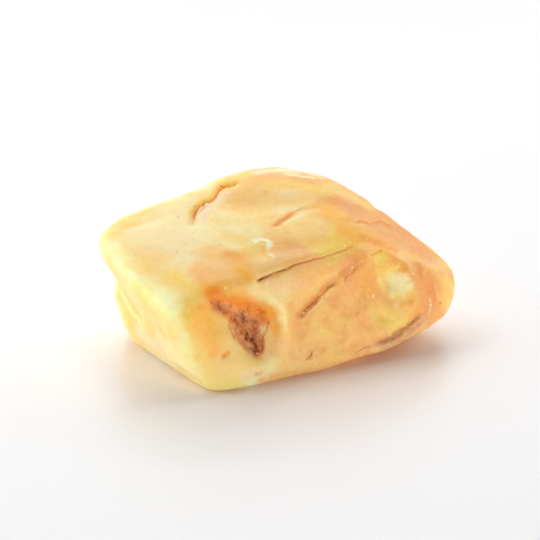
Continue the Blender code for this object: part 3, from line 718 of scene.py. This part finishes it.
     [(-2.9, -8.6, 9.2), (-1.7, -8.5, 8.9), (-0.8, -8.1, 8.4), (0.1, -7.9, 7.6)]),
    # painted highlight along the pit's right rim
    ("pale", 0.3, 0.25, 1.0,
     [(-0.6, -8.2, 7.9), (0.1, -8.1, 7.2), (0.4, -8.1, 6.6), (0.5, -8.2, 5.9), (0.6, -8.5, 5.0)]),
    ("chalk", 0.4, 1.0, 0.7, [(-3.5, -11.3, 1.2), (-2.4, -10.8, 1.4), (-1.3, -10.2, 1.0)]),
    ("shade", 0.14, 0.5, 0.6, [(-2.3, -10.7, 1.3), (-1.8, -10.4, 1.3)]),
    ("clay", 0.24, 0.8, 0.7,
     [(14.0, -2.5, 3.4), (12.9, -2.9, 2.5), (11.9, -3.8, 2.0), (11.0, -4.4, 1.7)]),
]


def baseCoat(points):
    # cream and butter at the blunt end, apricot and salmon at the tip, and clouds of each in the other
    def cloudOf(size, low, high, away):
        height = noiseAt(points + away, size) + 0.4 * noiseAt(points + away, size * 0.37)
        return smoothStep(height, low, high)

    def blend(share, under, over):
        return under + share[:, None] * (over - under)

    colour = {name: np.array(value) for name, value in palette.items()}
    pale = blend(cloudOf(5.0, -0.25, 0.35, 11.0), colour["butter"], colour["cream"])
    warm = blend(cloudOf(4.0, -0.30, 0.30, 23.0), colour["apricot"], colour["salmon"])
    back = smoothStep(points[:, 1], 2.0, 8.0)  # the far side is quieter
    warm = blend(cloudOf(3.4, 0.0, 0.45, 41.0) * (1.0 - 0.65 * back), warm, colour["gold"])
    toTip = smoothStep(points[:, 0] + 9.0 * noiseAt(points + 5.0, 7.0), -7.0, 8.0)
    return blend(toTip, pale, warm)


def layPaint(coat, some, share, colour):
    coat[some] += share[:, None] * (np.array(colour) - coat[some])


def paintStrokes(coat, points, tree):
    bent = points
    for size, reach in brush["wander"]:
        bent = wander(bent, size, reach)
    jagged = straying(points, brush["jag"])
    for name, reach, strength, softness, route in strokes:
        stops = layOnSkin(route, tree, brush["step"])
        strayed = bent if reach > brush["broad"] else jagged
        some = nearRoute(strayed, stops, 2.0 * reach)
        away = alongRoute(strayed[some], stops)[0] / reach
        share = strength * (1.0 - smoothStep(away, 1.0 - softness, 1.0 + softness))
        layPaint(coat, some, share, palette[name])


def paintScarp(coat, points, facing, tree):
    # a stained band down the slope, and a broken painted highlight along the lip
    some, away, way, side = measureMark(scarp, points, facing, tree, scarp["riseReach"])
    taper = fadeEnds(way, (-0.04, 0.10), (-0.1, 0.3))
    width = scarp["band"] * (0.4 + 0.6 * taper)
    onSlope = taper * smoothStep(side, -0.03, 0.03)
    for name, low, high, strength in scarp["tints"]:
        share = strength * onSlope * (1.0 - smoothStep(side / width, low, high))
        layPaint(coat, some, share, palette[name])
    # painted highlight: a pale line along the lip, broken up by noise
    share = 0.6 * taper * smoothStep(side, -0.16, -0.05) * (1.0 - smoothStep(side, -0.05, 0.0))
    share *= np.clip(0.3 + 1.8 * noiseAt(points[some] + 6.0, 0.4), 0.0, 1.0)
    layPaint(coat, some, share, palette["glintWhite"])


def paintCracks(coat, points, facing, tree):  # gives back how dirty each point is
    dirt = np.zeros(len(points))
    for crack in cracks.values():
        some, away, way, side = measureMark(crack, points, facing, tree, lumpValues["paintReach"])
        share = fadeEnds(way, (-0.04, 0.04), (-0.04, 0.06)) * alongWay(crack["ink"], way)
        share *= np.clip(0.9 + 0.7 * noiseAt(points[some] + 2.0, 0.35), 0.3, 1.0)
        gaps = smoothStep(noiseAt(points[some] + 14.0, 0.24), -0.25, 0.15)
        share *= 1.0 - crack.get("broken", 0.0) * (1.0 - gaps)
        share *= np.exp(-((away / (1.05 * alongWay(crack["half"], way))) ** 4))
        start, end = (np.array(palette[name]) for name in crack["stain"])
        layPaint(coat, some, share, start + way[:, None] * (end - start))
        dirt[some] = np.maximum(dirt[some], share)
    return dirt


def paintRidges(coat, points, facing, tree):
    for ridge in ridges.values():
        some, away, way, side = measureMark(ridge, points, facing, tree, lumpValues["paintReach"])
        # a pale painted highlight along each ridge, broken up by noise
        share = ridge["pale"] * np.exp(-((away / (1.1 * ridge["half"])) ** 2))
        share *= np.clip(0.55 + 1.6 * noiseAt(points[some] + 8.0, 0.45), 0.0, 1.0)
        layPaint(coat, some, share, palette["pale"])


def paintSpots(coat, points, tree):
    # a moss-coloured spot in each pore, and a painted white glint on each bead
    spots = [("moss", place, brush["poreSpot"]) for place, radius, deep in pores]
    spots += [("glintWhite", place, brush["glintSpot"]) for place in glintBeads]
    for name, place, radius in spots:
        share = 0.8 * np.exp(-(awayFrom(points, onSkin(place, tree), radius) ** 4))
        layPaint(coat, slice(None), share, palette[name])


def keepLayer(mesh, name, kind, field, values):
    layer = mesh.attributes.new(name, kind, "POINT")
    layer.data.foreach_set(field, values.astype(np.float32).ravel())


def paintSkin(mesh):
    points, facing = skinOf(mesh)
    tree = treeOf(points, mesh)
    coat = baseCoat(points)
    paintStrokes(coat, points, tree)
    paintScarp(coat, points, facing, tree)
    dirt = paintCracks(coat, points, facing, tree)
    paintRidges(coat, points, facing, tree)
    paintSpots(coat, points, tree)
    crumbs = smoothStep(pitShare(points, tree), -0.15, 0.5)
    chipped = smoothStep(points[:, 0], -1.0, 3.0) * smoothStep(-facing[:, 1], 0.0, 0.4)
    keepLayer(mesh, "coat", "FLOAT_COLOR", "color", np.hstack([coat, np.ones((len(coat), 1))]))
    keepLayer(mesh, "crumbs", "FLOAT", "value", crumbs)
    keepLayer(mesh, "chipped", "FLOAT", "value", chipped)
    keepLayer(mesh, "dirt", "FLOAT", "value", np.maximum(dirt, 0.8 * crumbs))


amberValues = {
    "roughness": (0.28, 0.46), "shine": 0.12, "ior": 1.54,
    "glowRadius": (1.0, 0.60, 0.35), "glowScale": 0.004,  # how far light spreads inside, in metres
    "dirtyGlow": 0.15,                                    # what dirt leaves of that
    "farOff": (0.004, 0.009),  # light that has passed through is dark before and pale after, in metres
    "nearTint": (0.20, 0.07, 0.03, 1), "farTint": (0.97, 0.90, 0.85, 1),
    "bump": 0.4, "bumpHeight": 0.00004,
    # patches: size, detail, roughness, offset, where they start and are full, strength, tint, blend
    "wisps": [  # deeper and paler streaks inside the resin
        (1.7, 6.0, 0.60, 0.013, 0.52, 0.74, 0.35, (0.97, 0.72, 0.42, 1), "MULTIPLY"),
        (1.2, 6.0, 0.65, -0.021, 0.54, 0.76, 0.25, (1.0, 0.92, 0.62, 1), "MIX"),
    ],
    "flecks": [  # where the front is chipped
        (0.55, 5.0, 0.68, 0.031, 0.54, 0.68, 0.50, (0.95, 0.78, 0.55, 1), "MULTIPLY"),
        (0.45, 5.0, 0.68, -0.017, 0.57, 0.70, 0.40, (1.0, 0.80, 0.40, 1), "MIX"),
    ],
    "dirt": [  # dark gaps, rusty lumps and pale grains in the pit
        (0.42, 5.0, 0.70, 0.009, 0.50, 0.62, 0.75, (0.62, 0.45, 0.42, 1), "MULTIPLY"),
        (0.20, 5.0, 0.70, 0.027, 0.56, 0.66, 0.85, (0.42, 0.26, 0.22, 1), "MULTIPLY"),
        (0.26, 5.0, 0.70, -0.011, 0.58, 0.70, 0.65, (0.92, 0.52, 0.27, 1), "MIX"),
    ],
}


def addNode(tree, kind, **values):  # in_0, in_1 and so on are the node's inputs by number
    node = tree.nodes.new(kind)
    for key, value in values.items():
        if key.startswith("in_"):
            node.inputs[int(key[3:])].default_value = value
        else:
            setattr(node, key, value)
    return node


def plug(tree, socket, value):
    if hasattr(value, "is_output"):
        tree.links.new(value, socket)
    else:
        socket.default_value = value


def mixColour(tree, share, under, over, blend="MIX"):
    node = addNode(tree, "ShaderNodeMix", data_type="RGBA", blend_type=blend)
    for number, value in ((0, share), (6, under), (7, over)):
        plug(tree, node.inputs[number], value)
    return node.outputs[2]


def maskFrom(tree, source, low, high):
    node = addNode(tree, "ShaderNodeMapRange", interpolation_type="SMOOTHSTEP", in_1=low, in_2=high)
    tree.links.new(source, node.inputs[0])
    return node.outputs[0]


def rangeFrom(tree, source, low, high):
    node = addNode(tree, "ShaderNodeMapRange", in_3=low, in_4=high)
    tree.links.new(source, node.inputs[0])
    return node.outputs[0]


def cloud(tree, size, detail, rough, offset):
    where = addNode(tree, "ShaderNodeTexCoord").outputs["Object"]
    place = addNode(tree, "ShaderNodeMapping", in_1=(offset, offset * 0.7, -offset))
    tree.links.new(where, place.inputs[0])
    node = addNode(tree, "ShaderNodeTexNoise")
    for name, value in (("Scale", 1.0 / (size * mm)), ("Detail", detail), ("Roughness", rough)):
        node.inputs[name].default_value = value
    tree.links.new(place.outputs[0], node.inputs["Vector"])
    return node.outputs["Fac"]


def times(tree, one, two):
    node = addNode(tree, "ShaderNodeMath", operation="MULTIPLY")
    plug(tree, node.inputs[0], one)
    plug(tree, node.inputs[1], two)
    return node.outputs[0]


def layerOf(tree, name, output="Fac"):
    return addNode(tree, "ShaderNodeAttribute", attribute_name=name).outputs[output]


def addPatches(tree, colour, patches, mask):
    for size, detail, rough, offset, low, high, strength, tint, blend in patches:
        patch = maskFrom(tree, cloud(tree, size, detail, rough, offset), low, high)
        colour = mixColour(tree, times(tree, times(tree, patch, strength), mask), colour, tint, blend)
    return colour


def letLightThrough(tree, shader):
    # some light passes through the lump, so its shadow is dark and warm close by and pale further off
    lightPath = addNode(tree, "ShaderNodeLightPath")
    through = addNode(tree, "ShaderNodeBsdfTransparent")
    passing = addNode(tree, "ShaderNodeMixShader")
    far = maskFrom(tree, lightPath.outputs["Ray Length"], *amberValues["farOff"])
    tint = mixColour(tree, far, amberValues["nearTint"], amberValues["farTint"])
    tree.links.new(tint, through.inputs[0])
    tree.links.new(lightPath.outputs["Is Shadow Ray"], passing.inputs[0])
    tree.links.new(shader.outputs[0], passing.inputs[1])
    tree.links.new(through.outputs[0], passing.inputs[2])
    tree.links.new(passing.outputs[0], tree.nodes["Material Output"].inputs[0])


def amberMaterial():
    material = bpy.data.materials.new("cloudyAmber")
    material.use_nodes = True
    tree = material.node_tree
    shader = tree.nodes["Principled BSDF"]

    colour = addPatches(tree, layerOf(tree, "coat", "Color"), amberValues["wisps"], 1.0)
    colour = addPatches(tree, colour, amberValues["flecks"], layerOf(tree, "chipped"))
    colour = addPatches(tree, colour, amberValues["dirt"], layerOf(tree, "crumbs"))
    rough = rangeFrom(tree, cloud(tree, 1.6, 5.0, 0.55, 0.04), *amberValues["roughness"])
    clean = rangeFrom(tree, layerOf(tree, "dirt"), 1.0, amberValues["dirtyGlow"])
    fine = addNode(tree, "ShaderNodeBump", in_0=amberValues["bump"], in_1=amberValues["bumpHeight"])
    tree.links.new(cloud(tree, 0.30, 5.0, 0.65, 0.02), fine.inputs["Height"])

    for name, value in (
        ("Base Color", colour), ("Roughness", rough), ("Normal", fine.outputs[0]),
        ("IOR", amberValues["ior"]), ("Specular IOR Level", amberValues["shine"]),
        ("Subsurface Weight", clean), ("Subsurface Radius", amberValues["glowRadius"]),
        ("Subsurface Scale", amberValues["glowScale"]),
    ):
        plug(tree, shader.inputs[name], value)
    letLightThrough(tree, shader)
    return material


amberLump = copyLump()
gridSkin(amberLump)
print("skin gridded:", len(amberLump.data.polygons))
rollSkin(amberLump.data)
chipFront(amberLump.data)
refineMarks(amberLump)
print("skin refined:", len(amberLump.data.polygons))
breakScarp(amberLump.data)
crumblePit(amberLump.data)
cutCracks(amberLump.data)
drillPores(amberLump.data)
print("marks cut")
paintSkin(amberLump.data)
amberLump.data.materials.clear()
amberLump.data.materials.append(amberMaterial())
print("lump finished, triangles:", sum(len(face.vertices) - 2 for face in amberLump.data.polygons))

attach(amberLump, "root")
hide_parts("amber_lump")


# metres, but the camera's aim and distance are in millimetres
studio = {
    "floorSize": 2.0, "floorShade": (0.80, 0.80, 0.805, 1), "floorRoughness": 0.35, "floorIor": 1.7,
    "worldStrength": 0.01,
    "aim": (-0.965, -1.051, 8.205), "distance": 150.73, "elevation": 21.656,
    "lens": 100.0, "sensor": 36.0,
    "lightAim": (0.0, 0.0, 0.005),
    "softboxes": {  # place, size, watts
        "topBackBox": ((0.0, 0.22, 0.36), (0.30, 0.30), 0.485),
        "backHighBox": ((0.0, 0.32, 0.27), (0.40, 0.16), 0.34),
        "backBox": ((0.0, 0.38, 0.16), (0.40, 0.16), 0.316),
        "leftBackBox": ((-0.30, 0.22, 0.20), (0.18, 0.18), 0.58),
        "leftBox": ((-0.36, 0.0, 0.20), (0.18, 0.18), 0.56),
        "leftLowBox": ((-0.38, 0.0, 0.10), (0.18, 0.14), 0.577),
        "rightBackBox": ((0.30, 0.22, 0.20), (0.18, 0.18), 0.771),
        "rightLowBox": ((0.38, 0.0, 0.10), (0.18, 0.14), 0.13),
        "rightFrontBox": ((0.30, -0.30, 0.035), (0.30, 0.05), 0.80),
        "frontBox": ((0.0, -0.42, 0.035), (0.50, 0.05), 0.55),
    },
}


def layFloor():
    bpy.ops.mesh.primitive_plane_add(size=studio["floorSize"], location=(0, 0, 0))
    floor = bpy.context.object
    floor.name = "studioFloor"
    material = bpy.data.materials.new("paperWhite")
    material.use_nodes = True
    shader = material.node_tree.nodes["Principled BSDF"]
    shader.inputs["Base Color"].default_value = studio["floorShade"]
    shader.inputs["Roughness"].default_value = studio["floorRoughness"]
    shader.inputs["IOR"].default_value = studio["floorIor"]
    floor.data.materials.append(material)


def addSoftbox(name, place, size, power):
    light = bpy.data.lights.new(name, "AREA")
    light.shape = "RECTANGLE"
    light.size, light.size_y = size
    light.energy = power
    lamp = bpy.data.objects.new(name, light)
    bpy.context.scene.collection.objects.link(lamp)
    lamp.location = place
    heading = Vector(studio["lightAim"]) - Vector(place)
    lamp.rotation_euler = heading.to_track_quat("-Z", "Y").to_euler()


def lightStudio():
    world = bpy.data.worlds.new("studioAir")
    bpy.context.scene.world = world
    world.use_nodes = True
    air = world.node_tree.nodes["Background"]
    air.inputs[0].default_value = (1, 1, 1, 1)
    air.inputs[1].default_value = studio["worldStrength"]
    for name, values in studio["softboxes"].items():
        addSoftbox(name, *values)


def placeCamera():
    camera = bpy.data.cameras.new("studioCamera")
    camera.lens, camera.sensor_width = studio["lens"], studio["sensor"]
    camera.clip_start = 0.005
    holder = bpy.data.objects.new("studioCamera", camera)
    bpy.context.scene.collection.objects.link(holder)
    tilt = math.radians(studio["elevation"])
    aim = Vector(studio["aim"]) * mm
    away = studio["distance"] * mm
    holder.location = aim + Vector((0.0, -math.cos(tilt) * away, math.sin(tilt) * away))
    holder.rotation_euler = (math.pi / 2 - tilt, 0.0, 0.0)
    bpy.context.scene.camera = holder


layFloor()
lightStudio()
placeCamera()
bpy.context.scene.view_settings.view_transform = "Standard"

print("studio ready")
